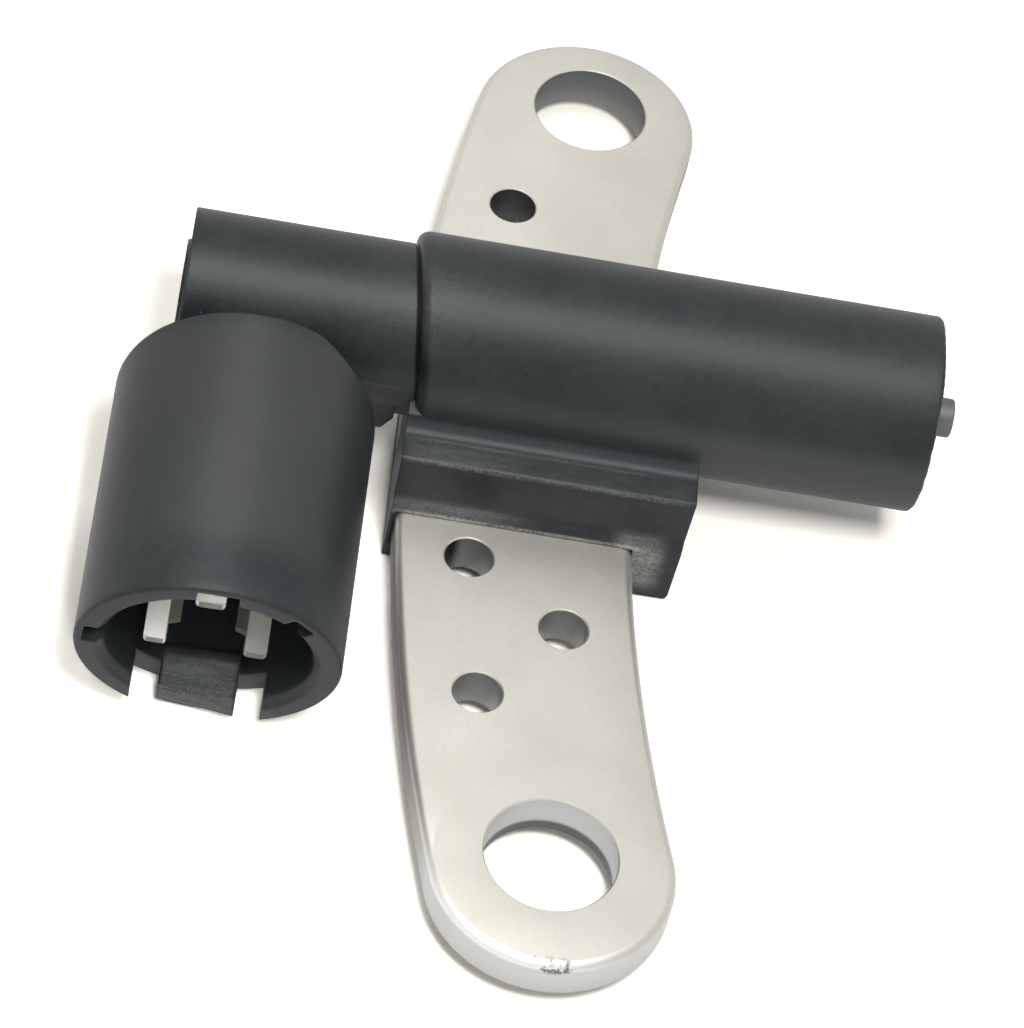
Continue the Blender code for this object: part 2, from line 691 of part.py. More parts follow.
def make_coil_unit(parts, steel, magnetic, nylon, copper, tape):
    """Pole pin, bobbin, winding, its wrap, magnet and yoke disc, all turned on the probe's axis."""
    axis = along_x(0.0, 0.0, PROBE_AXIS_Z)
    rear, front = bobbin_span()
    pin_start, pin_end = pin_span()
    pin = [(0.0, pin_end), (PIN_RADIUS, pin_end), (PIN_RADIUS, pin_start), (0.0, pin_start)]
    turned("pole_pin", pin, parts, axis, SMALL_STEPS + 4, steel)
    bore = PIN_RADIUS + CLEARANCE
    hub = bore + BOBBIN_WALL
    flange = COIL_CAVITY_RADIUS - CLEARANCE
    bobbin = [
        (bore, front),
        (flange, front),
        (flange, front - FLANGE_THICKNESS),
        (hub, front - FLANGE_THICKNESS),
        (hub, rear + FLANGE_THICKNESS),
        (flange, rear + FLANGE_THICKNESS),
        (flange, rear),
        (bore, rear),
    ]
    turned("coil_bobbin", bobbin, parts, axis, ROUND_STEPS // 2, nylon, closed=True)
    low = rear + FLANGE_THICKNESS + CLEARANCE
    high = front - FLANGE_THICKNESS - CLEARANCE
    ring("coil_winding", WINDING_RADIUS, hub + CLEARANCE, low, high, parts, axis, ROUND_STEPS // 2, copper)
    wrap_inner = WINDING_RADIUS + CLEARANCE
    wrap_outer = wrap_inner + WRAP_THICKNESS
    ring("coil_wrap", wrap_outer, wrap_inner, low, high, parts, axis, ROUND_STEPS // 2, tape)
    magnet_start, magnet_end = magnet_span()
    magnet = [(0.0, magnet_end), (MAGNET_RADIUS, magnet_end), (MAGNET_RADIUS, magnet_start), (0.0, magnet_start)]
    turned("magnet", magnet, parts, axis, SMALL_STEPS + 4, magnetic)
    yoke_start, yoke_end = yoke_span()
    yoke = [(0.0, yoke_end), (MAGNET_RADIUS, yoke_end), (MAGNET_RADIUS, yoke_start), (0.0, yoke_start)]
    turned("yoke_disc", yoke, parts, axis, SMALL_STEPS + 4, steel)


def main():
    """Builds the sensor."""
    clear_scene()
    parts = make_collection(PART_NAME)
    cutters = make_collection("forms_and_cutters")
    plastic = make_material("black_plastic", (0.035, 0.037, 0.038), 0.55, 0.0)
    steel = make_material("bracket_steel", (0.62, 0.60, 0.56), 0.38, 1.0)
    pin_steel = make_material("pin_steel", (0.33, 0.34, 0.34), 0.45, 1.0)
    tin = make_material("tinned_contact", (0.72, 0.69, 0.63), 0.35, 1.0)
    magnetic = make_material("sintered_magnet", (0.12, 0.12, 0.13), 0.5, 0.6)
    nylon = make_material("bobbin_nylon", (0.55, 0.52, 0.44), 0.6, 0.0)
    copper = make_material("enamelled_copper", (0.45, 0.16, 0.07), 0.35, 0.9)
    tape = make_material("coil_tape", (0.60, 0.45, 0.10), 0.5, 0.0)
    make_bracket(parts, cutters, steel)
    make_housing(parts, cutters, plastic)
    make_contacts(parts, tin)
    make_coil_unit(parts, pin_steel, magnetic, nylon, copper, tape)
    for name, path in lead_paths().items():
        wire(name, path, LEAD_RADIUS, parts, copper)
    for item in parts.objects:
        smooth(item)


main()
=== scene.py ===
# %% [markdown]
# Crankshaft position sensor. A magnet and a coil sit in a black plastic probe, a steel bracket
# holds the probe beside a toothed ring, and a keyed connector takes the signal away.
# This file dresses the solid model: it rebuilds the surfaces that show, gives each one its finish,
# then sets up the light and the camera. Lengths are in millimetres until they enter the scene.

import math

import bmesh
import bpy
import numpy as np
from mathutils import Matrix


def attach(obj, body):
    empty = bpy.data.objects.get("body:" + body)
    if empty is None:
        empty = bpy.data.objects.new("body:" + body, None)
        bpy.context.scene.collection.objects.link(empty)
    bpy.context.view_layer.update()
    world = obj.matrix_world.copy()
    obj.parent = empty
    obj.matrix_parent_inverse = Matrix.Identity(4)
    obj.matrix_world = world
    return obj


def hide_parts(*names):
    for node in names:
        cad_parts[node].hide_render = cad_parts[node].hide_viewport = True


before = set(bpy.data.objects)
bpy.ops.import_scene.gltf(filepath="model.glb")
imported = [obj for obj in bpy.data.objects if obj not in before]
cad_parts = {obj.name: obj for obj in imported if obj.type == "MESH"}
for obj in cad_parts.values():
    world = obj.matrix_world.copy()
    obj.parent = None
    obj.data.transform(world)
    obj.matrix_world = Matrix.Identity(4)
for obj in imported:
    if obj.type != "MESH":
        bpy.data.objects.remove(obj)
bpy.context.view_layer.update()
print("solid pieces:", sorted(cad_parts))

# %% [markdown]
# A mesh can be typed in vertex by vertex, modelled by hand, or worked out from a formula.
# Here each surface is a whole numpy array of points on a grid, because the real part is turned
# and moulded: nearly every face of it is a profile swept round an axis or along a line.

# %% Helpers for surfaces on a grid
MM = 0.001


def grid_faces(rows, columns, wrap_rows=False, wrap_columns=False):
    """Corner numbers of the quads between neighbouring rows and columns of a grid."""
    index = np.arange(rows * columns).reshape(rows, columns)
    if wrap_rows:
        index = np.vstack([index, index[:1]])
    if wrap_columns:
        index = np.hstack([index, index[:, :1]])
    corners = [index[:-1, :-1], index[:-1, 1:], index[1:, 1:], index[1:, :-1]]
    return np.stack([c.ravel() for c in corners], axis=1)


def place(points, matrix):
    """Each point times the matrix's turn, plus its shift."""
    points = np.asarray(points, float)
    return points @ matrix[:3, :3].T + matrix[:3, 3]


def solid(name, points, faces):
    """A closed mesh object from points in millimetres. Doubles are merged and faces turned outwards."""
    mesh = bpy.data.meshes.new(name)
    mesh.from_pydata((np.asarray(points) * MM).tolist(), [], [list(map(int, f)) for f in faces])
    work = bmesh.new()
    work.from_mesh(mesh)
    bmesh.ops.remove_doubles(work, verts=work.verts, dist=1e-6)
    bmesh.ops.dissolve_degenerate(work, edges=work.edges, dist=1e-7)
    bmesh.ops.recalc_face_normals(work, faces=work.faces)
    work.to_mesh(mesh)
    work.free()
    piece = bpy.data.objects.new(name, mesh)
    bpy.context.scene.collection.objects.link(piece)
    return piece


def turned(name, profile, matrix, steps=160):
    """A profile of (radius, height) turned about the matrix's Z: (r cos a, r sin a, h) for all a."""
    profile = np.asarray(profile, float)
    angle = np.linspace(0.0, 2.0 * np.pi, steps, endpoint=False)
    radius = profile[:, 0:1]
    height = np.repeat(profile[:, 1:2], steps, axis=1)
    points = np.stack([radius * np.cos(angle), radius * np.sin(angle), height], axis=2)
    faces = grid_faces(len(profile), steps, wrap_columns=True)
    return solid(name, place(points.reshape(-1, 3), matrix), faces)


def drawn_out(name, outline, low, high, matrix):
    """A flat closed outline of (x, y) carried along the matrix's Z from low to high."""
    outline = np.asarray(outline, float)
    count = len(outline)
    ends = [np.column_stack([outline, np.full(count, h)]) for h in (low, high)]
    faces = grid_faces(2, count, wrap_columns=True).tolist()
    faces += [list(range(count)), list(range(count, 2 * count))]
    return solid(name, place(np.vstack(ends), matrix), faces)


def arc(centre, radius, start, end, count):
    """Points on an arc, ends included: centre + radius (cos a, sin a), angles in degrees."""
    angle = np.radians(np.linspace(start, end, count + 1))
    return np.column_stack([centre[0] + radius * np.cos(angle), centre[1] + radius * np.sin(angle)])


print("grid helpers ready")

# %% [markdown]
# Forms that meet could be sunk into each other, but then hidden faces stay inside. Here they are
# joined or cut by exact Booleans, so each piece ends as one clean skin. A matrix built from three
# axes and an origin says where a profile stands, and the forms need no turning afterwards.

# %% Helpers for joining and placing


def join(body, tool, operation):
    """Adds, cuts away or intersects one solid, and keeps only the result."""
    step = body.modifiers.new("step", "BOOLEAN")
    step.operation = operation
    step.object = tool
    step.solver = "EXACT"
    done = bpy.data.meshes.new_from_object(body.evaluated_get(bpy.context.evaluated_depsgraph_get()))
    body.modifiers.clear()
    body.data = done
    bpy.data.objects.remove(tool, do_unlink=True)
    return body


def shade(piece, angle=32.0):
    """Smooth shading, with edges sharper than the angle kept crisp."""
    piece.data.shade_smooth()
    piece.data.set_sharp_from_angle(angle=math.radians(angle))
    return piece


def stand(x_axis, y_axis, z_axis, origin):
    """A matrix from three axes and an origin."""
    matrix = np.eye(4)
    matrix[:3, 0] = x_axis
    matrix[:3, 1] = y_axis
    matrix[:3, 2] = z_axis
    matrix[:3, 3] = origin
    return matrix


print("joining helpers ready")

# %% [markdown]
# The probe and its neck are one turned form. A lathe profile is the natural way to make it, because
# the rounded shoulder, the flat end and the small boss on the neck's end are all points of one line.
# The straight parts have many rings, so that the next step can bend the shoulder smoothly.

# %% Probe, neck and shoulder
PROBE_Z = 15.0
PROBE_R = 8.5
NECK_R = 7.3
TIP_X = 29.0
SHOULDER_X = -15.8
NECK_END_X = -35.4
TIP_ROUND = 0.35
SHOULDER_ROUND = 1.1
NECK_ROUND = 0.2
along_x = stand((0, 1, 0), (0, 0, 1), (1, 0, 0), (0, 0, PROBE_Z))

tip_round = arc((PROBE_R - TIP_ROUND, TIP_X - TIP_ROUND), TIP_ROUND, 90, 0, 6)
shoulder_round = arc((PROBE_R - SHOULDER_ROUND, SHOULDER_X + SHOULDER_ROUND), SHOULDER_ROUND, 0, -90, 10)
end_round = arc((NECK_R - NECK_ROUND, NECK_END_X + NECK_ROUND), NECK_ROUND, 0, -90, 4)
probe_profile = np.vstack([
    [(0.0, TIP_X), (PROBE_R * 0.5, TIP_X)],
    tip_round,
    np.column_stack([np.full(24, PROBE_R), np.linspace(TIP_X - 1.2, SHOULDER_X + 1.4, 24)]),
    shoulder_round,
    [(NECK_R - NECK_ROUND, SHOULDER_X), (NECK_R - NECK_ROUND, SHOULDER_X - 0.1), (NECK_R, SHOULDER_X - 0.2)],
    np.column_stack([np.full(10, NECK_R), np.linspace(SHOULDER_X - 0.6, NECK_END_X + 0.5, 10)]),
    end_round,
    [(4.6, NECK_END_X), (4.45, NECK_END_X - 0.3), (0.0, NECK_END_X - 0.3)],
])
housing = turned("housing_skin", probe_profile, along_x, 192)
print("probe profile points:", len(probe_profile))

# %% [markdown]
# The photo shows a shoulder that isn't square to the axis and a tip whose rim isn't clean. A turned
# form is perfect, so its points are moved by a formula, and a falling exponential keeps each change
# near its place. A bump or a texture wouldn't do, because the outline has to change too.

# %% Leaning shoulder and uneven tip
LEAN = (0.33, -0.104, -0.083)
LEAN_SPREAD = 2.2


def shift_points(piece, change):
    """Moves every point of a mesh by a function of all points, in millimetres."""
    points = np.empty(len(piece.data.vertices) * 3)
    piece.data.vertices.foreach_get("co", points)
    points = points.reshape(-1, 3) / MM
    points = points + change(points)
    piece.data.vertices.foreach_set("co", (points * MM).ravel())
    piece.data.update()


def lean_shoulder(points):
    """x moves by (LEAN[0] + LEAN[1] y + LEAN[2] (z - axis)) exp(-((x - shoulder) / spread)^2)."""
    near = np.exp(-((points[:, 0] - SHOULDER_X) / LEAN_SPREAD) ** 2)
    lean = LEAN[0] + LEAN[1] * points[:, 1] + LEAN[2] * (points[:, 2] - PROBE_Z)
    move = np.zeros_like(points)
    move[:, 0] = near * lean
    return move


def rough_tip(points):
    """The rim moves back by 0.07 (1 + a sum of three sine waves round the axis), and only the rim."""
    angle = np.arctan2(points[:, 2] - PROBE_Z, points[:, 1])
    radius = np.hypot(points[:, 2] - PROBE_Z, points[:, 1])
    rim = np.exp(-((points[:, 0] - TIP_X) / 0.35) ** 2) * np.exp(-((radius - PROBE_R) / 0.5) ** 2)
    wave = np.sin(5 * angle + 1.0) * 0.5 + np.sin(13 * angle + 4 * np.sin(2 * angle)) * 0.4
    wave += np.sin(47 * angle + 5 * np.sin(3 * angle)) * 0.35
    move = np.zeros_like(points)
    move[:, 0] = -0.07 * rim * (1.0 + wave)
    return move


shift_points(housing, lean_shoulder)
shift_points(housing, rough_tip)
print("housing points moved:", len(housing.data.vertices))

# %% [markdown]
# The block is moulded round the bracket. Its end view is the same all along, so it is drawn out
# in one go: a foot, a front wall, a flat ledge, a fillet up to the probe, and the mirror of them.
# Its right end leans in towards its foot and is round below. A second outline, seen from the front
# and intersected with the first, gives both in one cut.

# %% Block
BLOCK_X = (-15.1, 10.2)
BLOCK_HALF = 12.65
PLATE_Z = (1.8, 5.8)
LEDGE_Z = 12.2
FILLET = 1.2
LEDGE_ROUND = 0.35
LOW_ROUND = 0.9
DRAFT = 0.4
foot = np.array([(-BLOCK_HALF, 0.25), (-BLOCK_HALF + 0.25, 0.0)])
wall_y = -BLOCK_HALF + 0.5
ledge_edge = arc((wall_y + LEDGE_ROUND, LEDGE_Z - LEDGE_ROUND), LEDGE_ROUND, 180, 90, 5)
fillet_z = LEDGE_Z + FILLET
fillet_y = -math.sqrt((PROBE_R + FILLET) ** 2 - (PROBE_Z - fillet_z) ** 2)
towards = math.degrees(math.atan2(PROBE_Z - fillet_z, -fillet_y))
fillet = arc((fillet_y, fillet_z), FILLET, -90, towards, 8)
front = np.vstack([
    foot[::-1],
    [(-BLOCK_HALF, PLATE_Z[1]), (-BLOCK_HALF + 0.1, PLATE_Z[1] + 0.9), (wall_y, PLATE_Z[1] + 1.4)],
    ledge_edge,
    fillet,
    [(-4.0, PROBE_Z)],
])
block_view = np.vstack([front, front[::-1] * (-1, 1)])
end_view = stand((0, 1, 0), (0, 0, 1), (1, 0, 0), (0, 0, 0))
block = drawn_out("block", block_view, BLOCK_X[0], BLOCK_X[1], end_view)
low_right = BLOCK_X[1] - DRAFT
side = np.vstack([
    [(-16.0, -0.001)],
    arc((low_right - LOW_ROUND, LOW_ROUND), LOW_ROUND, -90, 0, 8),
    [(BLOCK_X[1], 15.4), (-16.0, 15.4)],
])
front_view = stand((1, 0, 0), (0, 0, 1), (0, -1, 0), (0, 0, 0))
join(block, drawn_out("side", side, -14.0, 14.0, front_view), "INTERSECT")
join(housing, block, "UNION")
print("block outline points:", len(block_view))

# %% [markdown]
# The connector is a cup on a tilted axis. Its frame has X to the left seen from the mouth, Y up and
# Z backwards from the mouth, so keyways, slots and contacts are all placed by simple numbers.
# The cup's rear is cut by an upright plane, and its inner corner by a slanted one. A short throat
# joins it to the neck, and a small web stands out under the neck, between cup and block.

# %% Connector barrel
TILT = math.radians(11.0)
back = np.array([0.0, math.cos(TILT), math.sin(TILT)])
up = np.array([0.0, -math.sin(TILT), math.cos(TILT)])
left = np.cross(up, back)
REAR = np.array([-28.73, -9.5, 15.9])
CUP_LENGTH = 26.6
CUP_R = 10.93
SOCKET_R = 8.5
SOCKET_DEPTH = 20.0
CORE = 0.3
REAR_Y = -12.1
SLANT = math.radians(-15.0)
THROAT_R = 5.2
THROAT_LENGTH = 13.4
mouth = REAR - back * CUP_LENGTH
cup_frame = stand(left, up, back, mouth)
cup_outside = np.vstack([
    [(0.0, CUP_LENGTH + 3.0)],
    np.column_stack([np.full(16, CUP_R), np.linspace(CUP_LENGTH + 3.0, 1.0, 16)]),
    arc((CUP_R - 0.25, 0.25), 0.25, 0, -90, 4),
    [(0.0, 0.0)],
])
cup = turned("cup", cup_outside, cup_frame, 192)
cut_away = [(-30.0, 0.0), (30.0, 0.0), (30.0, 20.0), (-30.0, 20.0)]
for name, turn, hinge_x in (("rear_cut", 0.0, REAR[0]), ("corner_cut", SLANT, REAR[0] + 5.0)):
    cut_axes = stand((math.cos(turn), math.sin(turn), 0), (-math.sin(turn), math.cos(turn), 0), (0, 0, 1),
                     (hinge_x, REAR_Y, PROBE_Z))
    join(cup, drawn_out(name, cut_away, -30.0, 30.0, cut_axes), "DIFFERENCE")
join(housing, cup, "UNION")
lay_y = stand((1, 0, 0), (0, 0, 1), (0, -1, 0), (REAR[0], 0, PROBE_Z - 1.7))
throat_view = [(0.0, 0.0), (THROAT_R, 0.0), (THROAT_R, THROAT_LENGTH), (0.0, THROAT_LENGTH)]
join(housing, turned("throat", throat_view, lay_y, 96), "UNION")
web_view = [(-19.0, 13.0), (-19.0, 9.8), (-17.1, 9.8), (-16.2, 11.2), (-16.2, 13.0)]
join(housing, drawn_out("web", web_view, 2.0, 7.0, front_view), "UNION")
print("mouth centre:", np.round(mouth, 2))

# %% [markdown]
# The socket is one cutter: a turned hollow with a lead-in, and three keyways added to it.
# Cutting once with the finished tool leaves cleaner edges than cutting four times.

# %% Socket and keyways
PAST_MOUTH = -1.4
LEAD_IN = 0.75
socket = turned("socket", [
    (0.0, SOCKET_DEPTH), (SOCKET_R, SOCKET_DEPTH), (SOCKET_R, 0.8), (SOCKET_R + 0.12, 0.55),
    (SOCKET_R + LEAD_IN, 0.0), (SOCKET_R + LEAD_IN, PAST_MOUTH), (0.0, PAST_MOUTH)], cup_frame, 192)


def keyway(angle, width, reach, depth=12.0):
    """A groove with rounded corners, drawn out along the socket and turned round its axis."""
    half = width / 2.0
    soft = 0.3
    corners = np.vstack([
        [(-half, 4.0)], arc((-half + soft, reach - soft), soft, 180, 90, 4),
        arc((half - soft, reach - soft), soft, 90, 0, 4), [(half, 4.0)]])
    turn = math.radians(angle)
    spin = np.eye(4)
    spin[:2, :2] = [[math.cos(turn), -math.sin(turn)], [math.sin(turn), math.cos(turn)]]
    return drawn_out("keyway", corners, -2.1, depth, cup_frame @ spin)


for angle, width, reach in ((0.0, 3.5, 10.33), (44.0, 2.4, 10.33), (-86.0, 2.5, 10.25)):
    join(socket, keyway(angle, width, reach), "UNION")
print("socket faces:", len(socket.data.polygons))

# %% [markdown]
# The latch is a tongue between two open slots in the mouth's lower wall, with a ramp that a plug's
# hook rides over. The slots join the same cutter, and the ramp is added after the cut. It stands a
# little askew on the real part, so its points are moved by a formula like the shoulder's.

# %% Latch
LATCH_HALF = 3.25
SLOT = 2.2
SLOT_DEPTH = 3.1


def window(low_u, high_u, depth):
    """A slot through the bottom of the mouth's wall."""
    outline = [(low_u, -14.0), (high_u, -14.0), (high_u, -6.0), (low_u, -6.0)]
    return drawn_out("window", outline, -2.8, depth, cup_frame)


join(socket, window(CORE + LATCH_HALF, CORE + LATCH_HALF + SLOT, SLOT_DEPTH), "UNION")
join(socket, window(CORE - LATCH_HALF - SLOT, CORE - LATCH_HALF, SLOT_DEPTH), "UNION")
join(socket, window(CORE - LATCH_HALF - 0.3, CORE + LATCH_HALF + 0.3, 1.0), "UNION")
join(housing, socket, "DIFFERENCE")
side_view = stand(-back, up, left, mouth)
ramp_view = [(-1.0, -9.9), (-1.0, -8.5), (-1.4, -8.35), (-4.1, -7.6), (-4.5, -7.55),
             (-4.9, -7.8), (-4.9, -9.9)]
ramp = drawn_out("ramp", ramp_view, CORE - LATCH_HALF, CORE + LATCH_HALF, side_view)


def askew(points):
    """The front moves out by 0.85 s and the crest up by 0.3 s, where s runs from 0 left to 1 right."""
    local = (points - mouth) @ np.column_stack([left, up, back])
    side = (CORE + LATCH_HALF - local[:, 0]) / (2 * LATCH_HALF)
    front_part = local[:, 2] < 2.0
    outwards = np.outer(np.where(front_part, -0.85 * side, 0.0), back)
    upwards = np.outer(np.where(front_part, 0.0, 0.3 * side), up)
    return outwards + upwards


shift_points(ramp, askew)
join(housing, ramp, "UNION")
print("housing faces:", len(housing.data.polygons))

# %% [markdown]
# The bracket is a flat bar bent in its own plane. Its outline is two long arcs and two round ends,
# and its edge is rolled over a little, so each step of the edge is the outline moved inwards. The
# same outline, a hair larger, cuts the slot for it in the block. Holes are cut with turned drills
# in the next step.

# %% Bracket
ARC_R = 194.3
CROWN = np.array([-4.95, 1.55])
PLATE_HALF = 10.175
NEAR_REACH = 49.0
FAR_REACH = 37.5
EDGE_ROUND = 0.8
HAIR = 0.04


def on_bar(reach, across=0.0):
    """Point at a distance along the mean arc from its crown, and across it towards the outside."""
    turn = math.pi - reach / ARC_R
    radius = ARC_R + across
    return np.array([CROWN[0] + ARC_R + radius * math.cos(turn), CROWN[1] + radius * math.sin(turn)])


def bar_outline(half, near=NEAR_REACH, far=FAR_REACH, ends=40, sides=60):
    """Closed outline of the bar at a given half width: outer arc, near end, inner arc, far end."""
    centre = (CROWN[0] + ARC_R, CROWN[1])
    near_angle = 180.0 + math.degrees(near / ARC_R)
    far_angle = 180.0 - math.degrees(far / ARC_R)
    outer = arc(centre, ARC_R + half, far_angle, near_angle, sides)
    near_end = arc(on_bar(-near), half, near_angle, near_angle + 180.0, ends)
    inner = arc(centre, ARC_R - half, near_angle, far_angle, sides)
    far_end = arc(on_bar(far), half, far_angle - 180.0, far_angle, ends)
    return np.vstack([outer, near_end[1:-1], inner, far_end[1:-1]])


def plate_solid(name, half, low, high, edge):
    """The outline carried up the edge profile: in by the edge radius below, out, and in again on top."""
    turn = np.radians(np.linspace(90, 0, 6))
    inset = edge * (1.0 - np.cos(np.pi / 2 - turn))
    rise = edge * (1.0 - np.sin(np.pi / 2 - turn))
    levels = [(i, low + r) for i, r in zip(inset[::-1], rise[::-1])]
    levels += [(i, high - r) for i, r in zip(inset, rise)]
    rows = [np.column_stack([bar_outline(half - i), np.full(len(bar_outline(half)), z)]) for i, z in levels]
    count = len(rows[0])
    faces = grid_faces(len(rows), count, wrap_columns=True).tolist()
    last = (len(rows) - 1) * count
    faces += [list(range(count)), list(range(last, last + count))]
    return solid(name, np.vstack(rows), faces)


bar = plate_solid("bracket_skin", PLATE_HALF, PLATE_Z[0], PLATE_Z[1], EDGE_ROUND)
slot_outline = bar_outline(PLATE_HALF + HAIR)
slot_tool = drawn_out("slot", slot_outline, PLATE_Z[0] - HAIR, PLATE_Z[1] + HAIR, np.eye(4))
join(housing, slot_tool, "DIFFERENCE")
shade(housing)
print("bracket outline points:", len(slot_outline))

# %% [markdown]
# Each hole is given by its distance along the bar's mean arc, its distance across it and its radius,
# as a drawing would give it. Every drill is one turned profile that also breaks the hole's edges.

# %% Bracket holes
HOLES = [(-48.1, 0.0, 5.5), (39.0, 0.0, 5.2), (24.2, 3.9, 2.1),
         (-17.5, 3.9, 2.1), (-24.6, -3.9, 2.1), (-31.7, 3.9, 2.1)]
for reach, across, radius in HOLES:
    x, y = on_bar(reach, across)
    rim = 0.12
    drill_profile = [
        (0.0, 9.0), (radius + rim + 3.0, 9.0), (radius + rim, PLATE_Z[1]), (radius, PLATE_Z[1] - rim),
        (radius, PLATE_Z[0] + rim), (radius + rim, PLATE_Z[0]), (radius + rim + 3.0, -1.4), (0.0, -1.4)]
    drill = turned("drill", drill_profile, stand((1, 0, 0), (0, 1, 0), (0, 0, 1), (x, y, 0)), 96)
    join(bar, drill, "DIFFERENCE")
shade(bar, 25.0)
print("bracket faces:", len(bar.data.polygons))

# %% [markdown]
# The pole pin and the contacts are small metal pieces with softened edges. The pin is turned like the
# probe. A contact is its outline drawn out to its thickness, with the corners of its tip rounded.

# %% Pole pin and contacts
PIN_R = 1.7
PIN_X = (8.3, 31.3)
PIN_ROUND = 0.2
CONTACT_R = 4.75
pin_round = arc((PIN_R - PIN_ROUND, PIN_X[1] - PIN_ROUND), PIN_ROUND, 90, 0, 4)
pin_profile = np.vstack([[(0.0, PIN_X[1])], pin_round, [(PIN_R, PIN_X[0]), (0.0, PIN_X[0])]])
pin = turned("pin_skin", pin_profile, along_x, 64)
shade(pin, 25.0)


def contact(name, across, height, width, steps, tip=2.05, shoulder=4.1, end=22.0):
    """A flat blade: round tip corners, and a step out behind its shoulder on the side or sides given."""
    half = width / 2.0
    sides = []
    for step in steps:
        corner = arc((half - 0.4, tip + 0.4), 0.4, -90, 0, 4)
        rest = [(half, shoulder - 0.15), (half + step, shoulder + 0.15), (half + step, end)]
        sides.append(np.vstack([corner, rest]))
    outline = np.vstack([sides[0], sides[1][::-1] * (-1, 1)])
    flat = stand((1, 0, 0), (0, 0, 1), (0, -1, 0), (across, height, 0.0))
    return shade(drawn_out(name, outline, -0.4, 0.4, cup_frame @ flat), 20.0)


aside = CONTACT_R * math.sin(math.radians(120))
below = CONTACT_R * -0.5
blades = [contact("contact_top_skin", CORE + 0.15, CONTACT_R, 2.4, (0.3, 0.3), shoulder=5.4),
          contact("contact_left_skin", CORE + aside, below, 1.9, (0.0, 0.9)),
          contact("contact_right_skin", CORE - aside, below, 1.9, (0.9, 0.0))]
print("contacts:", [b.name for b in blades])

# %% [markdown]
# A finish is a small program of nodes. Wrapping a socket in a class lets the program be written as
# ordinary arithmetic: an expression such as 1 - mask adds the Math node it needs. The same nodes could
# be placed by hand in the editor, but a long mask is easier to read and to change as one line.

# %% A class for shader maths
class Wire:
    """One output socket of a material's nodes. Arithmetic on it adds Math nodes."""

    def __init__(self, tree, socket=None):
        self.tree = tree
        self.socket = socket

    def node(self, kind, settings=None, values=None, out=0):
        """Adds any node: its settings first, then the values or links of its sockets."""
        node = self.tree.nodes.new(kind)
        for key, value in (settings or {}).items():
            setattr(node, key, value)
        for key, value in (values or {}).items():
            if isinstance(value, Wire):
                self.tree.links.new(value.socket, node.inputs[key])
            else:
                node.inputs[key].default_value = value
        return Wire(self.tree, node.outputs[out])

    def maths(self, operation, first, second=None):
        """One Math node."""
        values = {0: first}
        if second is not None:
            values[1] = second
        return self.node("ShaderNodeMath", {"operation": operation}, values)

    def __add__(self, other):
        return self.maths("ADD", self, other)

    __radd__ = __add__

    def __sub__(self, other):
        return self.maths("SUBTRACT", self, other)

    def __rsub__(self, other):
        return self.maths("SUBTRACT", other, self)

    def __mul__(self, other):
        return self.maths("MULTIPLY", self, other)

    __rmul__ = __mul__

    def power(self, other):
        return self.maths("POWER", self, other)

    def above(self, low, high):
        """0 below low, 1 above high, and a smooth rise between."""
        settings = {"interpolation_type": "SMOOTHSTEP", "clamp": True}
        return self.node("ShaderNodeMapRange", settings, {0: self, 1: low, 2: high, 3: 0.0, 4: 1.0})

    def between(self, low, high, soft):
        """1 between low and high, with soft edges."""
        return self.above(low - soft, low + soft) * (1.0 - self.above(high - soft, high + soft))

    def blend(self, first, second):
        """Mixes two colours, with this value as the factor."""
        settings = {"data_type": "RGBA"}
        return self.node("ShaderNodeMix", settings, {0: self, 6: first, 7: second}, 2)


print("shader class ready")

# %% [markdown]
# Every finish starts from the object's own coordinates, in millimetres, so a mask can name a place
# on the part. Those coordinates don't change with the camera, and they need no unwrapping.

# %% Helpers for finishes
def finish(name, metallic=0.0, roughness=0.5, specular=0.5):
    """A new material with one Principled shader. Returns it, its shader and a wire to start from."""
    material = bpy.data.materials.new(name)
    material.use_nodes = True
    shader = material.node_tree.nodes["Principled BSDF"]
    shader.inputs["Metallic"].default_value = metallic
    shader.inputs["Roughness"].default_value = roughness
    shader.inputs["Specular IOR Level"].default_value = specular
    return material, shader, Wire(material.node_tree)


def connect(shader, name, wire):
    """Links a wire to a socket of the shader."""
    wire.tree.links.new(wire.socket, shader.inputs[name])


def object_millimetres(start):
    """The object's own coordinates in millimetres, and the three numbers apart."""
    where = start.node("ShaderNodeTexCoord", out="Object")
    scaled = start.node("ShaderNodeVectorMath", {"operation": "SCALE"}, {0: where, "Scale": 1000.0})
    apart = scaled.node("ShaderNodeSeparateXYZ", values={0: scaled})
    others = [Wire(start.tree, apart.socket.node.outputs[i]) for i in range(3)]
    return scaled, others


def noise(where, scale, detail=3.0, rough=0.5):
    """Noise from 0 to 1 with its features about 1/scale millimetres across."""
    values = {"Vector": where, "Scale": scale, "Detail": detail, "Roughness": rough}
    return where.node("ShaderNodeTexNoise", values=values)


def stretched(where, along_x, along_y, along_z):
    """Coordinates scaled apart along the axes, so that noise on them runs in streaks."""
    values = {0: where, 1: (along_x, along_y, along_z)}
    return where.node("ShaderNodeVectorMath", {"operation": "MULTIPLY"}, values)


def difference(where, place):
    """The vector from a place to each point."""
    return where.node("ShaderNodeVectorMath", {"operation": "SUBTRACT"}, {0: where, 1: tuple(place)})


def length(vector):
    """A vector's length as one number."""
    return vector.node("ShaderNodeVectorMath", {"operation": "LENGTH"}, {0: vector}, out=1)


def along(vector, direction):
    """How far a vector goes along a direction: their dot product."""
    values = {0: vector, 1: tuple(direction)}
    return vector.node("ShaderNodeVectorMath", {"operation": "DOT_PRODUCT"}, values, out=1)


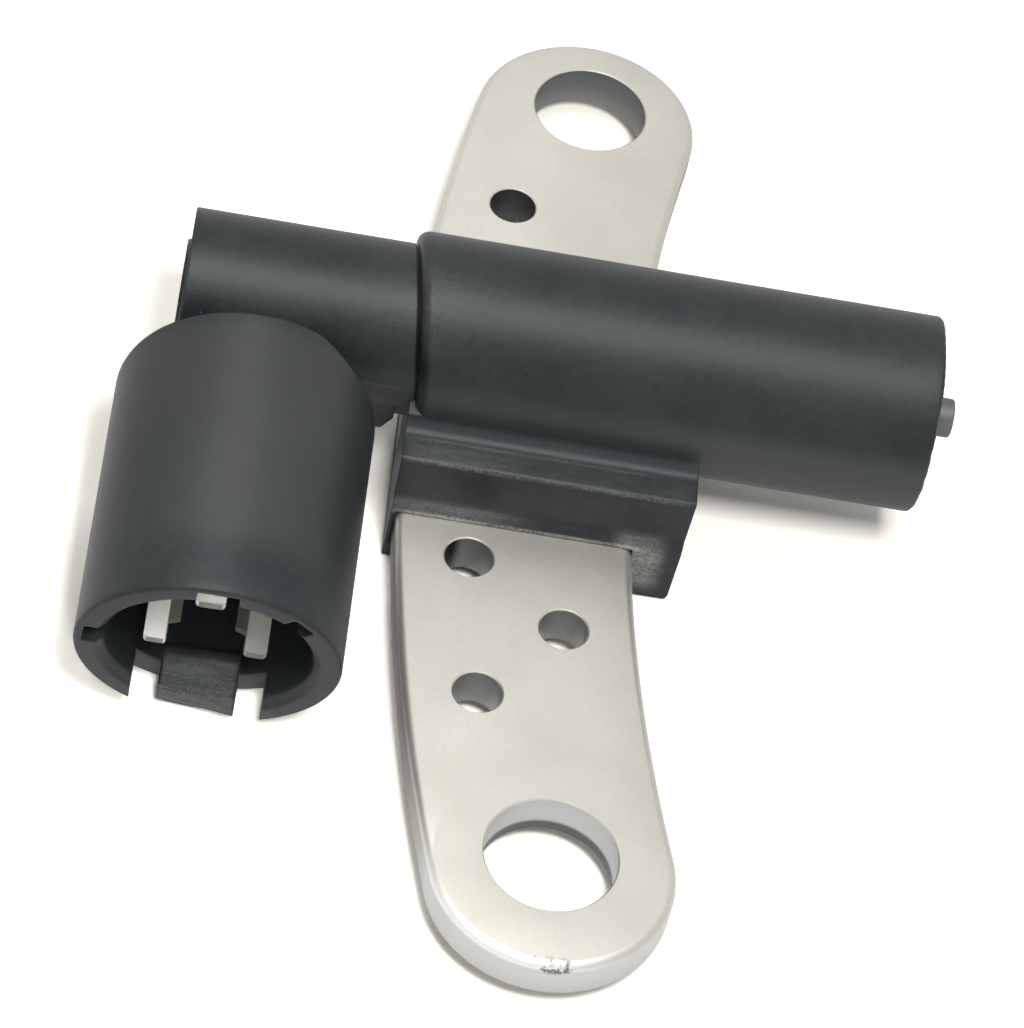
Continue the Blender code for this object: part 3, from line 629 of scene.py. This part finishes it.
def normal_part(start, axis):
    """One component of the true surface normal: 0 for X, 1 for Y, 2 for Z."""
    normal = start.node("ShaderNodeNewGeometry", out="Normal")
    apart = normal.node("ShaderNodeSeparateXYZ", values={0: normal})
    return Wire(start.tree, apart.socket.node.outputs[axis])


print("finish helpers ready")

# %% [markdown]
# The moulding is black glass-filled plastic with a fine spark-eroded grain. Its colour drifts a little,
# which two noises of different size give: one like clouds and one like mottling.

# %% Black plastic
plastic, plastic_shader, start = finish("moulded_black", roughness=0.4, specular=0.34)
where, (px, py, pz) = object_millimetres(start)
cloud = noise(where, 0.16, 3.0)
mottle = noise(where, 1.3, 4.0)
tone = cloud * 0.6 + mottle * 0.4
dark = (0.0108, 0.0140, 0.0155, 1.0)
pale = (0.0205, 0.0245, 0.0250, 1.0)
base = tone.above(0.32, 0.68).blend(dark, pale)
print("plastic starts with nodes:", len(plastic.node_tree.nodes))

# %% [markdown]
# Pale rubbed places show on the latch and on the block's foot, right end and ledge, and a faint painted
# highlight lies on the shoulder. Each one is a box with soft sides, and dusty noise breaks it up, so no
# painted map is needed.

# %% Rubbed places and a painted highlight
speck = noise(where, 5.5, 5.0, 0.7)
streaks = noise(stretched(where, 0.18, 1.6, 1.6), 1.0, 4.0, 0.65)
dust = speck.above(0.36, 0.72) * 0.6 + streaks.above(0.35, 0.75) * 0.4
ramp_zone = px.between(-32.1, -26.0, 0.1) * py.between(-36.5, -30.4, 0.3) * pz.between(0.0, 5.6, 0.2)
front_zone = py.between(-13.2, -11.9, 0.15)
foot_line = px.between(-15.0, 6.5, 0.8) * front_zone * pz.between(5.75, 6.25, 0.12)
foot_band = px.between(-16.0, -5.0, 4.0) * front_zone * pz.between(5.6, 7.4, 0.5)
side_zone = px.between(4.4, 8.2, 1.0) * py.between(-13.2, -11.0, 0.3) * pz.between(1.6, 6.8, 1.4)
ledge_zone = px.between(-14.8, 9.4, 0.6) * py.between(-12.6, -9.6, 0.3) * pz.between(11.9, 12.6, 0.12)
ledge_left = px.between(-15.5, -6.0, 4.0) * 0.6 + 0.4
back_line = px.between(-14.9, 6.0, 1.5) * py.between(-9.8, -9.5, 0.1) * pz.between(12.1, 12.6, 0.12)
edge_line = px.between(-14.9, 9.4, 0.5) * py.between(-12.4, -12.0, 0.08) * pz.between(11.8, 12.3, 0.12)
# A faint painted highlight on top of the shoulder.
painted_shoulder_highlight = px.between(-19.5, -11.5, 3.0) * py.between(-9.0, 1.0, 3.0) * pz.between(20.0, 26.0, 2.0)
wear_and_sheen = (ramp_zone * 0.2 + foot_line * 1.3 + foot_band * 0.4 + side_zone * 1.1 + ledge_zone * ledge_left * 0.26
       + back_line * 0.45 + edge_line * 0.3 + painted_shoulder_highlight * 0.1) * dust + side_zone * 0.22 + foot_band * 0.1
base = wear_and_sheen.blend(base, (0.34, 0.34, 0.32, 1.0))
print("plastic nodes with rubbing:", len(plastic.node_tree.nodes))

# %% [markdown]
# The mould leaves a thin pale parting line on the neck and a few pale specks. Where the shoulder meets
# the neck the crease is painted black as shade, and its mask uses the same leaning formula as the shape
# does.

# %% Parting line and seam
parting = px.between(-22.0, -15.9, 0.3) * py.between(-8.0, -6.8, 0.2) * pz.between(15.25, 15.4, 0.06)
specks = noise(where, 2.6, 2.0, 0.5).above(0.79, 0.82)
base = (parting * 0.16 + specks * 0.5).blend(base, (0.42, 0.42, 0.40, 1.0))
from_seam = px - py * LEAN[1] - (pz - PROBE_Z) * LEAN[2] - (SHOULDER_X + LEAN[0]) + (mottle - 0.5) * 0.3
# Painted shade: the crease at the shoulder is coloured black.
crease_shade = from_seam.between(-0.36, 0.0, 0.08) * (1.0 - py.above(-2.0, 3.5)) * pz.above(12.3, 13.2)
base = (crease_shade * 0.85).blend(base, (0.002, 0.002, 0.002, 1.0))
print("plastic nodes with seam:", len(plastic.node_tree.nodes))

# %% [markdown]
# The cup is darker inside and on its lip, where little light gets in, and a touch paler on its crown,
# as is the probe's underside above the ledge. These tones stand in for light as the photo shows it.
# Distance along the cup's axis and from it come from a dot product and Pythagoras.

# %% Socket, lip, crown and belly
from_mouth = difference(where, mouth)
axial = along(from_mouth, back)
reach = length(from_mouth)
radial = (reach * reach - axial * axial).power(0.5)
in_socket = (1.0 - radial.above(8.7, 9.3)) * axial.above(0.4, 1.6) * (1.0 - axial.above(20.4, 20.6))
base = (in_socket * 0.7 * (1.0 - ramp_zone)).blend(base, (0.004, 0.0045, 0.005, 1.0))
lip = axial.between(-0.3, 0.3, 0.2) * radial.above(8.6, 8.9)
base = (lip * 0.6 * (1.0 - ramp_zone)).blend(base, (0.006, 0.007, 0.007, 1.0))
on_cup = axial.above(3.0, 7.0) * (1.0 - axial.above(24.0, 27.0)) * (1.0 - px.above(-19.0, -17.0))
cup_crown = on_cup * pz.above(17.5, 24.0)
base = (cup_crown * 0.8).blend(base, (0.037, 0.041, 0.039, 1.0))
belly = py.between(-10.5, -6.8, 1.5) * pz.between(12.2, 17.0, 1.2)
base = (belly * 0.8).blend(base, (0.042, 0.047, 0.050, 1.0))
connect(plastic_shader, "Base Color", base)
print("plastic nodes with tones:", len(plastic.node_tree.nodes))

# %% [markdown]
# The grain is a bump and not geometry, because its grains are a tenth of a millimetre. A bevel node
# under it rounds every sharp edge a little in the light, as a real mould does.

# %% Plastic grain
connect(plastic_shader, "Roughness", tone * 0.16 + 0.31 + wear_and_sheen * 0.3)
grain = noise(where, 6.5, 3.0, 0.6)
soft_edge = start.node("ShaderNodeBevel", {"samples": 6}, {"Radius": 0.28 * MM})
bump = start.node("ShaderNodeBump", values={
    "Strength": 0.35, "Distance": 0.05 * MM, "Height": grain + speck * 0.5, "Normal": soft_edge})
connect(plastic_shader, "Normal", bump)
print("plastic nodes:", len(plastic.node_tree.nodes))

# %% [markdown]
# The bracket is taken as zinc plated steel. Its face is satin with a very fine grain, and its walls
# are told from its face by the normal's Z. They are darker at the far end, along the left and at the
# foot of the near bolt hole. The metal is the same there: these tones stand in for light as the
# photo shows it.

# %% Bracket walls
steel, steel_shader, start = finish("satin_zinc", metallic=0.87, roughness=0.4)
where, (px, py, pz) = object_millimetres(start)
fine = noise(where, 9.0, 3.0, 0.6)
wide = noise(where, 0.12, 3.0)
face_tone = wide.above(0.3, 0.7).blend((0.715, 0.69, 0.615, 1.0), (0.78, 0.754, 0.675, 1.0))
normal_z = normal_part(start, 2)
wall_tone = py.above(-40.0, 34.0).blend((0.62, 0.63, 0.62, 1.0), (0.19, 0.20, 0.20, 1.0))
outside_left = (1.0 - px.above(-9.6, -8.6)) * (1.0 - py.above(-13.0, -12.0))
side_tone = py.above(-50.0, -32.0).blend((0.50, 0.495, 0.46, 1.0), (0.03, 0.033, 0.031, 1.0))
wall_tone = outside_left.blend(wall_tone, side_tone)
# Low down the walls get a warm tint, a painted reflection of the floor.
painted_floor_reflection = 1.0 - pz.above(1.8, 4.4)
wall_tone = (painted_floor_reflection * 0.25).blend(wall_tone, (0.46, 0.43, 0.37, 1.0))
upward = normal_z.above(0.05, 0.45)
end_x, end_y = on_bar(-NEAR_REACH)
end_reach = length(difference(where, (end_x, end_y, PLATE_Z[1])))
hole_foot = (1.0 - end_reach.above(7.6, 7.9)) * (1.0 - pz.above(2.7, 3.2))
wall_tone = (hole_foot * 0.85).blend(wall_tone, (0.06, 0.065, 0.065, 1.0))
print("near end centre:", np.round((end_x, end_y), 2))

# %% [markdown]
# On the face, the rolled rim of the near end gets a painted highlight on its left, and a few nicks show
# dark on it. Painted shade darkens the face a little towards its right. Distance from the end's centre
# finds the rim, and patchy noise in a small box gives the nicks.

# %% Bracket face, rim and nicks
end_left = (1.0 - px.above(end_x - 1.0, end_x + 7.0)) * (1.0 - py.above(end_y - 3.0, end_y + 5.0))
# Painted highlight on the left of the near end's rim.
rim_highlight = end_reach.above(9.6, 9.95) * end_left
# Painted shade: the face a little darker towards its right.
shaded = px.above(-9.0, 8.0) * 0.16
face_tone = shaded.blend(face_tone, (0.2, 0.195, 0.18, 1.0))
nick = noise(where, 0.8, 4.0, 0.7).above(0.52, 0.58)
worn = px.between(-1.0, 3.4, 0.5) * (1.0 - py.above(-56.4, -56.0)) * pz.between(4.9, 6.2, 0.2) * nick
grit = noise(where, 3.2, 2.0)
face_tone = (grit.above(0.35, 0.65) * 0.1).blend(face_tone, (0.5, 0.49, 0.45, 1.0))
steel_colour = upward.blend(wall_tone, (rim_highlight * 0.8).blend(face_tone, (1.0, 0.99, 0.96, 1.0)))
steel_colour = (worn * 0.8).blend(steel_colour, (0.08, 0.08, 0.08, 1.0))
connect(steel_shader, "Base Color", steel_colour)
connect(steel_shader, "Roughness", fine * 0.10 + 0.37)
bump = start.node("ShaderNodeBump", values={"Strength": 0.1, "Distance": 0.03 * MM, "Height": fine})
connect(steel_shader, "Normal", bump)
print("steel nodes:", len(steel.node_tree.nodes))

# %% [markdown]
# The pole pin is bare iron, dull and dark. The contacts are tinned brass, pale in front. Their cut ends
# are painted dark and the steps at the inner sides of the two lower ones painted brown, as shade. Each
# of the three has a tone of its own, which stands in for the light in the socket as the photo shows it.

# %% Pin and contact metal
pin_metal, pin_shader, start = finish("pin_iron", metallic=0.8, roughness=0.5)
where = object_millimetres(start)[0]
patch = noise(where, 2.0, 4.0)
connect(pin_shader, "Base Color", patch.blend((0.11, 0.12, 0.12, 1.0), (0.20, 0.21, 0.21, 1.0)))
contact_metal, contact_shader, start = finish("tinned_brass", metallic=0.15, roughness=0.5)
where, (px, py, pz) = object_millimetres(start)
streak = noise(where, 1.5, 3.0)
tin_and_painted_light = streak.blend((0.66, 0.645, 0.60, 1.0), (0.80, 0.78, 0.74, 1.0))
# Painted shade: dark cut ends and brown steps behind the lower contacts' shoulders.
cut_end_shade = 1.0 - normal_part(start, 1).above(-0.95, -0.75)
step_shade = px.between(-32.3, -25.8, 0.05) * (1.0 - pz.above(11.0, 12.0))
# Painted light: the top contact brighter and the right one darker.
tin_and_painted_light = (pz.above(15.5, 16.5) * 0.9).blend(tin_and_painted_light, (1.0, 0.99, 0.93, 1.0))
tin_and_painted_light = (px.above(-27.3, -26.3) * 0.85).blend(tin_and_painted_light, (0.22, 0.22, 0.20, 1.0))
tin_and_painted_light = (cut_end_shade * 0.9).blend(tin_and_painted_light, (0.07, 0.07, 0.062, 1.0))
connect(contact_shader, "Base Color", (step_shade * 0.93).blend(tin_and_painted_light, (0.045, 0.038, 0.025, 1.0)))
print("contact nodes:", len(contact_metal.node_tree.nodes))

# %% [markdown]
# The pieces inside keep their solid shapes and only get a finish. Bobbin, copper, film and magnet
# differ in colour and shine alone, so one function with two close tones serves them all.

# %% Finishes of the pieces inside
def plain_finish(name, low, high, metallic, roughness, scale):
    """A finish of one piece inside: two close tones of one colour in a cloudy pattern."""
    material, shader, start = finish(name, metallic, roughness)
    where = object_millimetres(start)[0]
    tone = noise(where, scale, 3.0)
    connect(shader, "Base Color", tone.above(0.3, 0.7).blend((*low, 1.0), (*high, 1.0)))
    connect(shader, "Roughness", tone * 0.15 + (roughness - 0.07))
    return material


bobbin_nylon = plain_finish("bobbin_nylon", (0.50, 0.47, 0.39), (0.60, 0.57, 0.48), 0.0, 0.5, 0.8)
copper = plain_finish("enamelled_copper", (0.36, 0.12, 0.05), (0.50, 0.18, 0.08), 0.8, 0.3, 2.0)
tape = plain_finish("coil_tape", (0.52, 0.38, 0.08), (0.64, 0.48, 0.12), 0.0, 0.3, 0.6)
magnet_grey = plain_finish("sintered_magnet", (0.09, 0.09, 0.10), (0.14, 0.14, 0.15), 0.6, 0.45, 3.0)
inner_finishes = {"coil_bobbin": bobbin_nylon, "coil_winding": copper, "coil_wrap": tape,
                  "magnet": magnet_grey, "yoke_disc": pin_metal, "coil_lead_left": copper,
                  "coil_lead_right": copper}


def paint(piece, material):
    """Gives a piece one finish and takes any other away."""
    piece.data.materials.clear()
    piece.data.materials.append(material)


for name, material in inner_finishes.items():
    paint(bpy.data.objects[name], material)
print("inner pieces painted:", len(inner_finishes))

# %% [markdown]
# Each new piece rides on the part's only body and takes the place of its solid in the picture.

# %% Dress the pieces
dressed = [(housing, plastic, "housing", "black_plastic"),
           (bar, steel, "bracket_plate", "bracket_steel"),
           (pin, pin_metal, "pole_pin", "pin_steel")]
for blade, node in zip(blades, ("contact_blade_top", "contact_blade_left", "contact_blade_right")):
    dressed.append((blade, contact_metal, node, "tinned_contact"))
for piece, material, node, slot in dressed:
    paint(piece, material)
    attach(piece, "root")
    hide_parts(node)
print("dressed:", [item[0].name for item in dressed])

# %% [markdown]
# The floor is a plain pale sheet. The photo is overexposed, so a second diffuse part is added for the
# camera alone. Together with the paper it gives back more light than real paper could. It scales with
# the light that falls, so the shadows stay. A glow, which camera and reflections see, starts 110 mm
# from the middle and hides the horizon.

# %% Floor
floor_mesh = bpy.data.meshes.new("floor")
floor_mesh.from_pydata([(-3, -3, 0), (3, -3, 0), (3, 3, 0), (-3, 3, 0)], [], [(0, 1, 2, 3)])
floor = bpy.data.objects.new("floor", floor_mesh)
bpy.context.scene.collection.objects.link(floor)
floor.location.z = -0.00005
floor_paint = bpy.data.materials.new("floor_paper")
floor_paint.use_nodes = True
tree = floor_paint.node_tree
tree.nodes.clear()
start = Wire(tree)
paper = start.node("ShaderNodeBsdfDiffuse", values={"Color": (0.84, 0.83, 0.80, 1.0)})
extra = start.node("ShaderNodeBsdfDiffuse", values={"Color": (0.66, 0.62, 0.52, 1.0)})
where = object_millimetres(start)[0]
far = length(where).above(110.0, 300.0)
glow = start.node("ShaderNodeEmission", values={"Color": (1.0, 1.0, 1.0, 1.0), "Strength": far * 0.6})
seen = start.node("ShaderNodeLightPath", out="Is Camera Ray")
mirror = start.node("ShaderNodeLightPath", out="Is Glossy Ray")
lit = start.node("ShaderNodeAddShader", values={0: paper, 1: glow})
bright = start.node("ShaderNodeAddShader", values={0: lit, 1: extra})
reflected = start.node("ShaderNodeMixShader", values={0: mirror, 1: paper, 2: lit})
sheet = start.node("ShaderNodeMixShader", values={0: seen, 1: reflected, 2: bright})
target = tree.nodes.new("ShaderNodeOutputMaterial")
tree.links.new(sheet.socket, target.inputs["Surface"])
floor_mesh.materials.append(floor_paint)
print("floor nodes:", len(tree.nodes))

# %% [markdown]
# The world is white to the camera, dim to diffuse rays and brighter to reflections, with a strong
# patch overhead. That patch gives the plastic its long highlights and leaves the shadows alone.
# A room of real lamps could do it, but its mirror images would show in the plated steel.

# %% World
world = bpy.data.worlds.new("studio")
bpy.context.scene.world = world
world.use_nodes = True
tree = world.node_tree
tree.nodes.clear()
start = Wire(tree)
soft = start.node("ShaderNodeBackground", values={"Color": (0.95, 0.97, 1.0, 1.0), "Strength": 0.26})
white = start.node("ShaderNodeBackground", values={"Color": (1.0, 1.0, 1.0, 1.0), "Strength": 1.0})
where = start.node("ShaderNodeTexCoord", out="Generated")
overhead = along(where, (-0.1, -0.15, 0.983))
ceiling = overhead.above(0.90, 0.995) * 7.0 + 0.80
walls = start.node("ShaderNodeBackground", values={"Color": (1.0, 1.0, 1.0, 1.0), "Strength": ceiling})
seen = start.node("ShaderNodeLightPath", out="Is Camera Ray")
mirrored = start.node("ShaderNodeLightPath", out="Is Glossy Ray")
passed = start.node("ShaderNodeLightPath", out="Is Transmission Ray")
bounced = mirrored.maths("MAXIMUM", mirrored, passed)
room = start.node("ShaderNodeMixShader", values={0: bounced, 1: soft, 2: walls})
sky = start.node("ShaderNodeMixShader", values={0: seen, 1: room, 2: white})
world_out = tree.nodes.new("ShaderNodeOutputWorld")
tree.links.new(sky.socket, world_out.inputs["Surface"])
print("world nodes:", len(tree.nodes))

# %% [markdown]
# Three square lamps make the shadows: a wide one overhead and behind, a smaller key light in front,
# and a small narrow one for the contacts in the socket. None shows in reflections, because the world
# already gives those, and a lamp's square image on the bracket would give it away.

# %% Lamps
def soft_lamp(name, spot, aim, width, power):
    """A square soft lamp at a spot, turned towards what it lights. Places are in millimetres."""
    lamp = bpy.data.lights.new(name, "AREA")
    lamp.shape = "SQUARE"
    lamp.size = width * MM
    lamp.energy = power
    item = bpy.data.objects.new(name, lamp)
    bpy.context.scene.collection.objects.link(item)
    spot = np.asarray(spot, float) * MM
    towards = np.asarray(aim, float) * MM - spot
    forward = towards / np.linalg.norm(towards)
    side = np.cross(forward, (0, 0, 1))
    side /= np.linalg.norm(side)
    rise = np.cross(side, forward)
    matrix = np.eye(4)
    matrix[:3, 0] = side
    matrix[:3, 1] = rise
    matrix[:3, 2] = -forward
    matrix[:3, 3] = spot
    item.matrix_world = Matrix(matrix.tolist())
    return item


lamps = [soft_lamp("overhead_lamp", (-40, 65, 300), (0, 0, 5), 230, 0.40),
         soft_lamp("key_lamp", (22, -178, 300), (0, -10, 0), 70, 0.85),
         soft_lamp("mouth_lamp", (-24, -150, 105), (-28.7, -32, 8), 12, 0.0013)]
lamps[2].data.spread = math.radians(14)
for lamp in lamps:
    lamp.visible_glossy = False
print("lamps ready")

# %% [markdown]
# The camera stands where the photographer stood. Its place, direction and long lens come from fitting
# the part's own circles and edges, so that every piece falls on its place in the picture.

# %% Camera
FOCAL_PIXELS = 4556.9
PHOTO_HEIGHT = 1028.0
lens = bpy.data.cameras.new("camera")
lens.sensor_width = 36.0
lens.lens = lens.sensor_width * FOCAL_PIXELS / PHOTO_HEIGHT
lens.clip_start = 0.01
camera = bpy.data.objects.new("camera", lens)
bpy.context.scene.collection.objects.link(camera)
forward = np.array([0.0756, 0.6608, -0.7468])
forward /= np.linalg.norm(forward)
right = np.array([0.9842, 0.0707, 0.1623])
right -= forward * right.dot(forward)
right /= np.linalg.norm(right)
rise = np.cross(right, forward)
eye = np.array([-34.16, -267.62, 296.1]) * MM
pose = np.eye(4)
pose[:3, 0] = right
pose[:3, 1] = rise
pose[:3, 2] = -forward
pose[:3, 3] = eye
camera.matrix_world = Matrix(pose.tolist())
bpy.context.scene.camera = camera
bpy.context.scene.view_settings.view_transform = "Standard"
print("lens:", round(lens.lens, 2))
